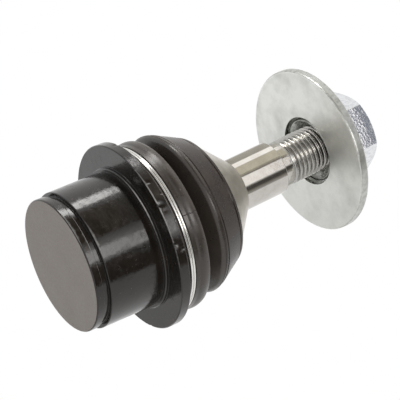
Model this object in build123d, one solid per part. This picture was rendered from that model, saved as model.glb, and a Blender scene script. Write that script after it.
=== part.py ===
from build123d import *
import math
import os

# A press-in suspension ball joint with a cylindrical stud, a 45 degree seat cone, and a hex nut that
# carries its own washer. Millimetres and degrees.
# The origin is the ball's centre. +Z runs along the housing's axis, from its closed end to the stud.
# The stud side is drawn upright about the same centre and then leaned over as one group. Heights on it
# are distances from the ball's centre along the stud's own axis.

# ---- ball and bearing ----
ball_radius = 13.5
ball_flat_radius = 4.0        # turned flat at the foot of the ball
ball_clearance = 0.05         # running clearance of the ball in its plastic seat
seat_wall = 2.0               # plastic seat, at the ball's equator
seat_mouth_height = 6.8       # the seat wraps the ball up to here
seat_corner = 3.0             # round at the foot of the seat
seat_slots = 6
seat_slot_width = 1.6
seat_slot_depth = 5.5         # from the mouth down
grease_pocket_radius = 4.5
grease_pocket_depth = 0.7

# ---- housing ----
barrel_radius = 20.5          # press-fit diameter 41
closed_end_depth = 20.0       # ball centre to the closed end's face
closed_end_thickness = 4.4
pilot_radius = 19.9
pilot_length = 2.7
pilot_edge = 0.5
snap_groove_width = 1.6
snap_groove_depth = 1.3       # below the barrel
barrel_lead = 0.35            # chamfer where the barrel starts
root_step_height = 1.1        # fillet step where the barrel meets the flange
root_step_radius = 21.3
root_step_blend = 0.5         # sloping start of the step
flange_seat_height = 2.5      # ball centre to the flange's underside
flange_radius = 27.85
flange_thickness = 3.0
flange_edge = 0.45
neck_radius = 22.4            # the boot's bead sits here
neck_lip = 0.7                # the lip at the top of the neck that holds the bead
neck_lip_height = 0.9
crimp_thickness = 1.2         # the housing's edge, rolled in over the closing ring
crimp_reach = 1.6

# ---- closing ring ----
closing_ring_height = 2.0
closing_ring_ledge = 1.5      # how far it reaches over the housing's shoulder
closing_ring_ball_gap = 0.5
closing_ring_stud_gap = 0.9
closing_ring_edge = 0.25

# ---- boot, cut into bead, bellows and band where it bends ----
bead_wall = 2.2
bead_shoulder = 0.45          # the rubber stands this far above the wire ring's groove
bead_height = 4.9             # above the flange
bellows_wall = 1.5
bellows_gap = 0.2             # open cut between the bellows and its neighbours
bellows_overrun = 3.0         # drawn past both cuts, then trimmed
first_fold_radius = 25.6      # corner of the lower convolution, before rounding
first_fold_share = 0.2        # places and roundings are shares of the height from bead to band
first_fold_round_share = 0.238
valley_radius = 19.3
valley_share = 0.535
valley_round_share = 0.089
second_fold_radius = 24.6
second_fold_share = 0.85
second_fold_round_share = 0.129
band_depth = 6.6              # below the seat cone's back face
band_base_radius = 24.1
band_lip_rise = 1.2           # above the seat cone's back face
band_top_radius = 20.05
band_wall = 3.1
band_base_round = 0.4
band_lip_round = 0.15
band_lip_thickness = 1.6      # the sealing lip behind the seat cone
soft_gap = 0.3                # rubber to steel where the stud turns

# ---- boot rings ----
boot_wire_radius = 0.35
boot_wire_turns = 3
boot_wire_pitch = 0.67
boot_wire_rise = 2.0          # flange to the first turn's centre
boot_wire_play = 0.07         # groove beside the outer turns
lip_ring_thickness = 1.3
lip_ring_height = 2.2

# ---- stud ----
stud_lean = 3.0               # the stud lies a little to one side, towards +X
stud_swing_limit = 14.0       # each way about X and about Y; both together make a 20 degree cone
shank_radius = 8.0
stud_neck_radius = 7.5
stud_neck_top = 17.0
stud_neck_fillet = 2.0        # where the neck grows out of the ball
stud_neck_round = 4.0         # where the neck starts to widen
shoulder_radius = 9.5
shoulder_length = 2.0
shoulder_round = 2.0
cone_seat_radius = 8.25       # raised land that the seat cone is pressed on
shank_length = 14.9           # beyond the seat cone's tip
shank_chamfer = 0.8
relief_radius = 6.8
relief_length = 2.4
thread_radius = 7.0           # M14 x 1.5
stud_end_inset = 1.2          # below the nut's outer face
stud_end_chamfer = 1.0
hex_socket_flats = 6.0        # a key holds the stud here while the nut turns
hex_socket_depth = 6.0

# ---- seat cone ----
cone_angle = 45.0
cone_tip_height = 39.3
cone_tip_land = 0.4
cone_rim_radius = 19.2
cone_rim_land = 1.4
cone_rim_edge = 0.3
cone_hub_radius = 12.0
cone_hub_length = 2.1

# ---- captive washer ----
washer_radius = 25.0
washer_thickness = 2.8
washer_edge = 0.6
grip_length = 28.1            # seat cone's tip to the washer
washer_hole_radius = 10.55
washer_counterbore_depth = 1.6
washer_bore_radius = 10.0
washer_cock = 3.7             # the loose washer lies askew by this much
washer_cock_heading = -99.7   # the way its axis leans, measured about the stud from +X

# ---- hex nut ----
nut_flats = 22.0
nut_height = 14.4
nut_gap = 0.8                 # washer to nut face: the play that lets the washer lie askew
nut_face_radius = 10.6
nut_face_height = 0.5
nut_chamfer_angle = 30.0
nut_top_radius = 10.2
nut_corner_heading = 89.3     # one corner of the hexagon, measured about the stud from +X
nut_bore_clearance = 0.05
spigot_radius = 9.55
spigot_flare_radius = 10.25
spigot_flare_thickness = 0.6
spigot_flare_edge = 0.2
spigot_recess = 0.25          # the spigot ends this far inside the washer's front face
countersink_radius = 8.8
cutter_margin = 1.0           # how far the nut's cutters stand past its faces

# ---- derived places ----
bore_radius = ball_radius + seat_wall
cavity_floor = closed_end_thickness - closed_end_depth
closing_ring_base = seat_mouth_height
closing_ring_top = closing_ring_base + closing_ring_height
closing_ring_radius = bore_radius + closing_ring_ledge
housing_top = closing_ring_top + crimp_thickness
flange_back = flange_seat_height + flange_thickness
bead_top = flange_back + bead_height
bead_groove_radius = neck_radius + bead_wall
bead_radius = bead_groove_radius + bead_shoulder
cone_fall = (cone_rim_radius - shank_radius - cone_tip_land) / math.tan(math.radians(cone_angle))
cone_back = cone_tip_height - cone_fall - cone_rim_land
shoulder_height = cone_back - cone_hub_length
band_base_height = cone_back - band_depth
bellows_height = band_base_height - bead_top
band_top_height = cone_back + band_lip_rise
shank_end = cone_tip_height + shank_length
washer_front_height = cone_tip_height + grip_length
nut_base = washer_front_height + washer_thickness + nut_gap
nut_top = nut_base + nut_height
stud_end = nut_top - stud_end_inset


def chord(radius, height):
    """Radius of a sphere's section at a height from its centre."""
    return math.sqrt(radius**2 - height**2)


def half_section(*corners):
    """Face beside the Z axis. A corner is (radius, height) or (radius, height, rounding)."""
    points = [corner[:2] for corner in corners]
    rounding = [corner[2] if len(corner) > 2 else 0 for corner in corners]
    return make_face(FilletPolyline(*points, radius=rounding, close=True))


def revolved(section):
    """Solid of revolution about Z of a half section."""
    return revolve(Plane.XZ * section, Axis.Z)


def turned(*corners):
    """Solid of revolution about Z, from the corners of its half section."""
    return revolved(half_section(*corners))


def leaned(solid, angle=stud_lean):
    """Swing a piece of the stud side about the ball's centre to where the stud lies."""
    return solid.rotate(Axis.Y, angle)


def housing():
    """Forged and turned cup: pilot, snap-ring groove, press-fit barrel, flange, boot neck."""
    end = -closed_end_depth
    groove_start = end + pilot_length
    groove_end = groove_start + snap_groove_width
    groove_radius = barrel_radius - snap_groove_depth
    step_start = flange_seat_height - root_step_height
    lip_radius = neck_radius + neck_lip
    lip_start = housing_top - neck_lip_height
    return turned(
        (0, end),
        (pilot_radius, end, pilot_edge),
        (pilot_radius, groove_start),
        (groove_radius, groove_start),
        (groove_radius, groove_end),
        (barrel_radius - barrel_lead, groove_end),
        (barrel_radius, groove_end + barrel_lead),
        (barrel_radius, step_start),
        (root_step_radius, step_start + root_step_blend),
        (root_step_radius, flange_seat_height),
        (flange_radius, flange_seat_height, flange_edge),
        (flange_radius, flange_back, flange_edge),
        (neck_radius, flange_back),
        (neck_radius, lip_start - neck_lip),
        (lip_radius, lip_start),
        (lip_radius, housing_top, neck_lip),
        (closing_ring_radius - crimp_reach, housing_top, crimp_thickness / 2),
        (closing_ring_radius - crimp_reach, closing_ring_top),
        (closing_ring_radius, closing_ring_top),
        (closing_ring_radius, closing_ring_base),
        (bore_radius, closing_ring_base),
        (bore_radius, cavity_floor, seat_corner),
        (0, cavity_floor),
    )


def ball_seat():
    """Moulded plastic shell round the ball, slotted at the mouth, with a grease pocket in its floor."""
    body = turned(
        (0, cavity_floor),
        (bore_radius, cavity_floor, seat_corner),
        (bore_radius, seat_mouth_height),
        (0, seat_mouth_height),
    )
    body -= Sphere(ball_radius + ball_clearance)
    slot = Pos(0, 0, seat_mouth_height) * Box(
        2 * bore_radius,
        seat_slot_width,
        seat_slot_depth,
        align=(Align.MIN, Align.CENTER, Align.MAX),
    )
    body -= [place * slot for place in PolarLocations(0, seat_slots)]
    pocket_top = -chord(ball_radius, grease_pocket_radius)
    pocket_floor = -ball_radius - ball_clearance - grease_pocket_depth
    body -= Pos(0, 0, pocket_floor) * Cylinder(
        grease_pocket_radius,
        pocket_top - pocket_floor,
        align=(Align.CENTER, Align.CENTER, Align.MIN),
    )
    return body


def closing_ring():
    """Steel ring over the seat. Its mouth clears the ball, and the neck at full swing."""
    full_swing = math.acos(math.cos(math.radians(stud_swing_limit)) ** 2)
    neck_reach = stud_neck_radius / math.cos(full_swing) + closing_ring_top * math.tan(full_swing)
    base_mouth = chord(ball_radius, closing_ring_base) + closing_ring_ball_gap
    top_mouth = max(base_mouth, neck_reach) + closing_ring_stud_gap
    return turned(
        (base_mouth, closing_ring_base),
        (closing_ring_radius, closing_ring_base, closing_ring_edge),
        (closing_ring_radius, closing_ring_top, closing_ring_edge),
        (top_mouth, closing_ring_top),
    )


def boot_bead():
    """The boot's foot: it grips the housing's neck and carries the wire ring in its groove."""
    lip_radius = neck_radius + neck_lip
    lip_start = housing_top - neck_lip_height
    groove_start = flange_back + boot_wire_rise - boot_wire_radius - boot_wire_play
    wound_width = (boot_wire_turns - 1) * boot_wire_pitch + 2 * boot_wire_radius
    groove_end = groove_start + wound_width + 2 * boot_wire_play
    return turned(
        (neck_radius, flange_back),
        (bead_radius, flange_back, bead_shoulder / 2),
        (bead_radius, groove_start),
        (bead_groove_radius, groove_start),
        (bead_groove_radius, groove_end),
        (bead_radius, groove_end),
        (bead_radius, bead_top),
        (lip_radius, bead_top),
        (lip_radius, lip_start),
        (neck_radius, lip_start - neck_lip),
    )


def boot_wire_ring():
    """Spring wire wound in touching turns, seated in the bead's groove."""
    centre_radius = bead_groove_radius + boot_wire_radius
    first_turn = flange_back + boot_wire_rise
    section = Sketch() + [
        Pos(centre_radius, first_turn + turn * boot_wire_pitch) * Circle(boot_wire_radius)
        for turn in range(boot_wire_turns)
    ]
    return revolved(section)


def boot_bellows():
    """The two convolutions, at half the stud's lean, cut to meet the bead and the band."""
    first_fold_height = bead_top + first_fold_share * bellows_height
    valley_height = bead_top + valley_share * bellows_height
    second_fold_height = bead_top + second_fold_share * bellows_height
    foot_slope = (first_fold_radius - bead_radius) / (first_fold_height - bead_top)
    head_slope = (band_base_radius - second_fold_radius) / (band_base_height - second_fold_height)
    outer = FilletPolyline(
        (bead_radius - foot_slope * bellows_overrun, bead_top - bellows_overrun),
        (first_fold_radius, first_fold_height),
        (valley_radius, valley_height),
        (second_fold_radius, second_fold_height),
        (band_base_radius + head_slope * bellows_overrun, band_base_height + bellows_overrun),
        radius=[
            first_fold_round_share * bellows_height,
            valley_round_share * bellows_height,
            second_fold_round_share * bellows_height,
        ],
    )
    wall = offset(outer, amount=bellows_wall, side=Side.LEFT)
    solid = leaned(revolved(make_face(wall)), stud_lean / 2)
    solid = split(solid, bisect_by=Plane.XY.offset(bead_top + bellows_gap), keep=Keep.TOP)
    band_plane = Rot(0, stud_lean, 0) * Plane.XY.offset(band_base_height - bellows_gap)
    return split(solid, bisect_by=band_plane, keep=Keep.BOTTOM)


def boot_band():
    """The stiff tapered band that follows the stud, with the sealing lip behind the seat cone."""
    inner_radius = band_base_radius - band_wall
    lip_top = cone_back - soft_gap
    lip_base = lip_top - band_lip_thickness
    rim_bore = cone_rim_radius + soft_gap
    ring_groove = (lip_base - lip_ring_height, lip_base)
    ring_radius = rim_bore + lip_ring_thickness / 2
    return leaned(
        turned(
            (inner_radius, band_base_height),
            (band_base_radius, band_base_height, band_base_round),
            (band_top_radius, band_top_height, band_lip_round),
            (rim_bore, band_top_height),
            (rim_bore, lip_top),
            (cone_hub_radius + soft_gap, lip_top),
            (cone_hub_radius + soft_gap, lip_base),
            (ring_radius, ring_groove[1]),
            (ring_radius, ring_groove[0]),
            (inner_radius - lip_ring_thickness, ring_groove[0]),
        )
    )


def boot_lip_ring():
    """Steel ring in the band's inner groove: it keeps the rubber round on the seat cone."""
    lip_base = cone_back - soft_gap - band_lip_thickness
    ring_radius = cone_rim_radius + soft_gap + lip_ring_thickness / 2
    return leaned(
        turned(
            (ring_radius - lip_ring_thickness, lip_base - lip_ring_height),
            (ring_radius, lip_base - lip_ring_height),
            (ring_radius, lip_base),
            (ring_radius - lip_ring_thickness, lip_base),
        )
    )


def ball_stud():
    """One forging: ball, neck, shoulder, ground shank, relief and thread, with a key socket."""
    flat_height = -chord(ball_radius, ball_flat_radius)
    root_height = chord(ball_radius, stud_neck_radius)
    relief_start = shank_end + shank_chamfer
    stem = half_section(
        (0, 0),
        (stud_neck_radius, 0),
        (stud_neck_radius, stud_neck_top, stud_neck_round),
        (shoulder_radius, shoulder_height - shoulder_length, shoulder_round),
        (shoulder_radius, shoulder_height),
        (cone_seat_radius, shoulder_height),
        (cone_seat_radius, cone_tip_height),
        (shank_radius, cone_tip_height),
        (shank_radius, shank_end),
        (relief_radius, relief_start),
        (relief_radius, relief_start + relief_length),
        (thread_radius, relief_start + relief_length + thread_radius - relief_radius),
        (thread_radius, stud_end - stud_end_chamfer),
        (thread_radius - stud_end_chamfer, stud_end),
        (0, stud_end),
    )
    half_ball = Circle(ball_radius) & Pos(0, flat_height) * Rectangle(
        ball_radius, 2 * ball_radius, align=(Align.MIN, Align.MIN)
    )
    section = stem + half_ball
    root = section.vertices().sort_by_distance((stud_neck_radius, root_height))[0]
    forging = revolved(fillet(root, stud_neck_fillet))
    socket = Pos(0, 0, stud_end - hex_socket_depth) * extrude(
        RegularPolygon(hex_socket_flats / 2, 6, major_radius=False), hex_socket_depth
    )
    return leaned(forging - socket)


def seat_cone():
    """45 degree cone pressed on the shank against the stud's shoulder."""
    rim_top = cone_back + cone_rim_land
    return leaned(
        turned(
            (cone_seat_radius, shoulder_height),
            (cone_hub_radius, shoulder_height),
            (cone_hub_radius, cone_back),
            (cone_rim_radius, cone_back, cone_rim_edge),
            (cone_rim_radius, rim_top),
            (shank_radius + cone_tip_land, cone_tip_height),
            (cone_seat_radius, cone_tip_height),
        )
    )


def captive_washer():
    """Large washer. The step in its hole rides behind the flare of the nut's spigot."""
    disc = turned(
        (washer_bore_radius, washer_thickness),
        (washer_bore_radius, washer_counterbore_depth),
        (washer_hole_radius, washer_counterbore_depth),
        (washer_hole_radius, 0),
        (washer_radius, 0, washer_edge),
        (washer_radius, washer_thickness, washer_edge),
    )
    heading = math.radians(washer_cock_heading)
    tilt_axis = Axis((0, 0, 0), (-math.sin(heading), math.cos(heading), 0))
    askew = disc.rotate(tilt_axis, washer_cock)
    return leaned(Pos(0, 0, washer_front_height) * askew)


def hex_nut():
    """Hexagon nut with a round bearing face and a flared spigot through the washer."""
    corner = Rot(0, 0, nut_corner_heading)
    hexagon = corner * RegularPolygon(nut_flats / 2, 6, major_radius=False)
    body = Pos(0, 0, nut_base) * extrude(hexagon, nut_height)
    blank_radius = nut_flats / 2 / math.cos(math.radians(30)) + cutter_margin
    fall = (blank_radius - nut_top_radius) * math.tan(math.radians(nut_chamfer_angle))
    body &= turned(
        (0, nut_base),
        (nut_face_radius, nut_base),
        (nut_face_radius, nut_base + nut_face_height),
        (blank_radius, nut_base + nut_face_height),
        (blank_radius, nut_top - fall),
        (nut_top_radius, nut_top),
        (0, nut_top),
    )
    spigot_end = washer_front_height + spigot_recess
    body += turned(
        (0, spigot_end),
        (spigot_flare_radius, spigot_end, spigot_flare_edge),
        (spigot_flare_radius, spigot_end + spigot_flare_thickness, spigot_flare_edge),
        (spigot_radius, spigot_end + spigot_flare_thickness),
        (spigot_radius, nut_base + nut_face_height),
        (0, nut_base + nut_face_height),
    )
    bore = thread_radius + nut_bore_clearance
    sink = countersink_radius - bore
    body -= turned(
        (0, spigot_end - cutter_margin),
        (countersink_radius + cutter_margin, spigot_end - cutter_margin),
        (bore, spigot_end + sink),
        (bore, nut_top + cutter_margin),
        (0, nut_top + cutter_margin),
    )
    return leaned(body)


pieces = {
    "housing": housing(),
    "ball_seat": ball_seat(),
    "closing_ring": closing_ring(),
    "ball_stud": ball_stud(),
    "seat_cone": seat_cone(),
    "boot_bead": boot_bead(),
    "boot_wire_ring": boot_wire_ring(),
    "boot_bellows": boot_bellows(),
    "boot_band": boot_band(),
    "boot_lip_ring": boot_lip_ring(),
    "captive_washer": captive_washer(),
    "hex_nut": hex_nut(),
}

os.makedirs("parts", exist_ok=True)
for name, piece in pieces.items():
    export_step(piece, f"parts/{name}.step")
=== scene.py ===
"""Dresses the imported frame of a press-in suspension ball joint: shapes, finishes, stage, light and camera.

Sizes are in millimetres and degrees. Heights on the stud side are distances from the ball's centre along the
stud's own axis, which leans a little from the housing's axis.
"""

import logging
import math
from collections.abc import Callable, Sequence
from dataclasses import dataclass, field
from enum import Enum

import bmesh
import bpy
from mathutils import Matrix, Vector, noise

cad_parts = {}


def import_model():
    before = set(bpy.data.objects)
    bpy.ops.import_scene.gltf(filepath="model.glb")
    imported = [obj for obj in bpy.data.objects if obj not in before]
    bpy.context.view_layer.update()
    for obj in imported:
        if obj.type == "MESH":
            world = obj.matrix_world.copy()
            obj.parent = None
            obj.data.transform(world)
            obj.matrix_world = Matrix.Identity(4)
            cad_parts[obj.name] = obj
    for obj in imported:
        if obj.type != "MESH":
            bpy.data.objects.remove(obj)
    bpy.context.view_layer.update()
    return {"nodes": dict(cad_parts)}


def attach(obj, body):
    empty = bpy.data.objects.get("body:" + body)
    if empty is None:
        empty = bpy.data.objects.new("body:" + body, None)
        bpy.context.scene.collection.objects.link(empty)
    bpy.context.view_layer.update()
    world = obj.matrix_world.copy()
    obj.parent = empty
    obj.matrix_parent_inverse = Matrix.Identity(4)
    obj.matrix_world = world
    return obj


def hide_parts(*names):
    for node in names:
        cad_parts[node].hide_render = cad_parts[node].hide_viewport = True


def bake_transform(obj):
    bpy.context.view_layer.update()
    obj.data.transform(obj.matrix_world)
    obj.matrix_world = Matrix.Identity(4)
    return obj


MM = 0.001
STUD_LEAN = 3.0
LEAN = Matrix.Rotation(math.radians(STUD_LEAN), 4, "Y")
# Edges that bend by more degrees than this stay sharp, unless a piece says otherwise.
SHARP = 38.0
# How far beyond each end of an arc a point stands that keeps the flat beside it shading flat.
GUARD = 0.02
# From one flat of a hexagon to the next, in radians.
SIXTH = math.pi / 3
# A noise lies between these two values nearly everywhere.
SWING = {"From Min": 0.3, "From Max": 0.7}
LOG = logging.getLogger("ball_joint")

Corner = tuple[float, ...]
Point2 = tuple[float, float]
Point3 = tuple[float, float, float]
Piece = bpy.types.Object
Material = bpy.types.Material
Socket = bpy.types.NodeSocket
Value = float | str | tuple[float, ...] | Socket | bpy.types.Node


# ---------------------------------------------------------------- shapes


def polar(radius: float, angle: float, height: float) -> Vector:
    """Point at a radius, an angle in radians round the Z axis, and a height."""
    return Vector((radius * math.cos(angle), radius * math.sin(angle), height))


def headings(count: int) -> list[float]:
    """Angles in radians that share a full turn evenly."""
    return [math.tau * step / count for step in range(count)]


def circle(angles: Sequence[float], radius: float, height: float) -> list[Vector]:
    """Ring of points with one radius and height."""
    return [polar(radius, angle, height) for angle in angles]


def rounded(corners: Sequence[Corner], closed: bool = True, steps: int = 6) -> list[Point2]:
    """Draw a half section, each corner as an arc where it has a radius, guarded so the flats shade flat.

    Args:
        corners: (radius, height) or (radius, height, rounding) for each corner.
        closed: whether the last corner joins the first.
        steps: straight pieces in each arc.

    Returns:
        The section's points in order.
    """
    points: list[Point2] = []
    count = len(corners)
    for index, corner in enumerate(corners):
        here = Vector(corner[:2])
        rounding = corner[2] if len(corner) > 2 else 0.0
        at_end = not closed and index in (0, count - 1)
        if rounding <= 0 or at_end:
            points.append((here.x, here.y))
            continue
        back = (Vector(corners[index - 1][:2]) - here).normalized()
        ahead = (Vector(corners[(index + 1) % count][:2]) - here).normalized()
        half = math.acos(max(-1.0, min(1.0, back.dot(ahead)))) / 2
        centre = here + (back + ahead).normalized() * rounding / math.sin(half)
        start = here + back * rounding / math.tan(half) - centre
        end = here + ahead * rounding / math.tan(half) - centre
        sweep = math.atan2(start.x * end.y - start.y * end.x, start.dot(end))
        points.append(tuple(centre + start + back * GUARD))
        for step in range(steps + 1):
            spoke = Matrix.Rotation(sweep * step / steps, 2) @ start
            points.append((centre.x + spoke.x, centre.y + spoke.y))
        points.append(tuple(centre + end + ahead * GUARD))
    return points


def divided(points: Sequence[Point2], longest: float, closed: bool = True) -> list[Point2]:
    """Split a section's long straight pieces, so that a shape function has points to move.

    Args:
        points: the section's points.
        longest: the longest piece that is left whole.
        closed: whether the last point joins the first.

    Returns:
        The points with the new ones between them.
    """
    result: list[Point2] = []
    count = len(points)
    for index, point in enumerate(points):
        result.append(point)
        if not closed and index == count - 1:
            break
        after = points[(index + 1) % count]
        pieces = math.ceil(math.dist(point, after) / longest)
        for piece in range(1, pieces):
            share = piece / pieces
            result.append((point[0] + (after[0] - point[0]) * share, point[1] + (after[1] - point[1]) * share))
    return result


def loft(name: str, rings: Sequence[Sequence[Vector]], sharp: float = SHARP) -> Piece:
    """Skin a mesh over rings of points in millimetres, the last joined to the first.

    Args:
        name: the piece's name.
        rings: rings with as many points each, each closed on itself.
        sharp: edges that bend more than this many degrees stay sharp.

    Returns:
        The new object, linked to the scene.
    """
    mesh = bmesh.new()
    skin(mesh, [*rings, rings[0]])
    return finished(name, mesh, sharp)


def skin(mesh: bmesh.types.BMesh, rings: Sequence[Sequence[Vector]], lead: int = 0) -> list[list[bmesh.types.BMVert]]:
    """Lay faces between rings of points in millimetres.

    Args:
        mesh: the mesh that takes them.
        rings: rings with as many points each.
        lead: how many rings later a ring carries on after one turn, on a helix.

    Returns:
        The vertices of each ring.
    """
    rows = [[mesh.verts.new(point * MM) for point in ring] for ring in rings]
    around = len(rows[0])
    for index in range(len(rows) - 1):
        for step in range(around):
            last = step == around - 1
            beside, above = (index + lead, index + 1 + lead) if last else (index, index + 1)
            if above < len(rows):
                nearby = (step + 1) % around
                mesh.faces.new((rows[index][step], rows[beside][nearby], rows[above][nearby], rows[index + 1][step]))
    return rows


def finished(name: str, mesh: bmesh.types.BMesh, sharp: float) -> Piece:
    """Weld, orient and shade a mesh, and link it to the scene as an object.

    Args:
        name: the piece's name.
        mesh: the mesh, which is freed.
        sharp: edges that bend more than this many degrees stay sharp.

    Returns:
        The new object.
    """
    bmesh.ops.remove_doubles(mesh, verts=mesh.verts, dist=1e-7)
    bmesh.ops.dissolve_degenerate(mesh, edges=mesh.edges, dist=1e-8)
    bmesh.ops.recalc_face_normals(mesh, faces=mesh.faces)
    data = bpy.data.meshes.new(name)
    mesh.to_mesh(data)
    mesh.free()
    data.shade_smooth()
    data.set_sharp_from_angle(angle=math.radians(sharp))
    piece = bpy.data.objects.new(name, data)
    bpy.context.scene.collection.objects.link(piece)
    return piece


def turned(
    name: str,
    section: Sequence[Point2],
    segments: int,
    shape: Callable[[Vector], Vector] | None = None,
    sharp: float = SHARP,
) -> Piece:
    """Turn a closed half section round the Z axis.

    Args:
        name: the piece's name.
        section: (radius, height) points.
        segments: steps round the axis.
        shape: moves each point, in millimetres.
        sharp: edges that bend more than this many degrees stay sharp.

    Returns:
        The new object.
    """
    angles = headings(segments)
    rings = [circle(angles, radius, height) for radius, height in section]
    if shape:
        rings = [[shape(point) for point in ring] for ring in rings]
    return loft(name, rings, sharp)


def smooth_share(value: float, start: float, end: float) -> float:
    """Share from 0 at start to 1 at end, with a soft beginning and end."""
    share = max(0.0, min(1.0, (value - start) / (end - start)))
    return share * share * (3 - 2 * share)


def drift(point: Vector, size: float, amount: float, seed: float) -> float:
    """Smooth random offset at a point, from features of a size in millimetres."""
    return amount * noise.noise(point / size + Vector((seed, 2 * seed, -seed)))


def paint(piece: Piece, name: str, amount: Callable[[Vector], float]) -> None:
    """Store a value from 0 to 1 at each vertex, from its place in millimetres, for a finish to read."""
    layer = piece.data.attributes.new(name, "FLOAT", "POINT")
    layer.data.foreach_set("value", [amount(vertex.co / MM) for vertex in piece.data.vertices])


# ---------------------------------------------------------------- finishes


def linear(code: str) -> tuple[float, float, float, float]:
    """Turn an sRGB hex code into a linear colour.

    Args:
        code: such as "1f1e1d".

    Returns:
        Red, green, blue and 1.
    """
    levels = [int(code[place : place + 2], 16) / 255 for place in (0, 2, 4)]
    mixed = [level / 12.92 if level <= 0.04045 else ((level + 0.055) / 1.055) ** 2.4 for level in levels]
    return (*mixed, 1.0)


def per_mm(size: float) -> float:
    """Texture scale whose features are this many millimetres across."""
    return 1 / (size * MM)


class Recipe:
    """A node tree in the making."""

    def __init__(self, owner: bpy.types.Material | bpy.types.World) -> None:
        """Start with an empty tree.

        Args:
            owner: the material or world whose tree it is.
        """
        owner.use_nodes = True
        self.tree = owner.node_tree
        self.tree.nodes.clear()

    def feed(self, node: bpy.types.Node, name: str | int, value: Value) -> None:
        """Set one input of a node, or link it.

        Args:
            node: the node.
            name: the input, by name or place.
            value: a number, a vector, an sRGB hex code, a socket, or a node that gives its first output.
        """
        source = value.outputs[0] if isinstance(value, bpy.types.Node) else value
        if isinstance(source, Socket):
            self.tree.links.new(source, node.inputs[name])
        else:
            node.inputs[name].default_value = linear(source) if isinstance(source, str) else source

    def add(
        self, kind: str, inputs: dict[str | int, Value] | None = None, **settings: str | int | float | bool
    ) -> bpy.types.Node:
        """Add a node with its settings and links.

        Args:
            kind: the node's type without the ShaderNode prefix.
            inputs: what feeds each input, by name or place.
            settings: the node's own properties.

        Returns:
            The new node.
        """
        node = self.tree.nodes.new(f"ShaderNode{kind}")
        for name, value in settings.items():
            setattr(node, name, value)
        for name, value in (inputs or {}).items():
            self.feed(node, name, value)
        return node


class Surface(Recipe):
    """The tree of a finish, with its shader and the position in the piece's own frame."""

    def __init__(self, name: str) -> None:
        """Make the material, its shader and its output.

        Args:
            name: the material's name.
        """
        self.material = bpy.data.materials.new(name)
        super().__init__(self.material)
        self.shader = self.add("BsdfPrincipled")
        self.add("OutputMaterial", {"Surface": self.shader})
        self.place = self.add("TexCoord").outputs["Object"]

    def wrapped(self, along: float, around: float) -> bpy.types.Node:
        """Position unrolled about the Z axis: height over along, turns over around.

        Args:
            along: size of the marks along the axis, in millimetres.
            around: how many marks lie round the axis.

        Returns:
            A node that gives the vector for a texture with scale 1.
        """
        x, y, z = self.add("SeparateXYZ", {0: self.place}).outputs
        angle = self.add("Math", {0: y, 1: x}, operation="ARCTAN2")
        turns = self.add("Math", {0: angle, 1: around / math.tau}, operation="MULTIPLY")
        height = self.add("Math", {0: z, 1: per_mm(along)}, operation="MULTIPLY")
        square = self.add("Math", {0: x, 1: 2.0}, operation="POWER")
        both = self.add("Math", {0: y, 1: y, 2: square}, operation="MULTIPLY_ADD")
        radius = self.add("Math", {0: both}, operation="SQRT")
        reach = self.add("Math", {0: radius, 1: per_mm(along)}, operation="MULTIPLY")
        return self.add("CombineXYZ", {0: height, 1: turns, 2: reach})

    def finish(
        self, colour: Value, gloss: Value, height: Value, strength: float, depth: float, **further: Value
    ) -> Material:
        """Feed the shader.

        Args:
            colour: the base colour.
            gloss: the roughness.
            height: what the bump follows.
            strength: of the bump, up to 1.
            depth: of the bump, in millimetres.
            further: other inputs of the shader, by name with _ for each space.

        Returns:
            The material.
        """
        bump = self.add("Bump", {"Strength": strength, "Distance": depth * MM, "Height": height})
        fed = {"Base Color": colour, "Roughness": gloss, "Normal": bump}
        fed.update({name.replace("_", " "): value for name, value in further.items()})
        for name, value in fed.items():
            self.feed(self.shader, name, value)
        return self.material


class Direction(Enum):
    """How a surface was worked, seen about its own axis."""

    ROUND = "round"
    NONE = "none"


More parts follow.
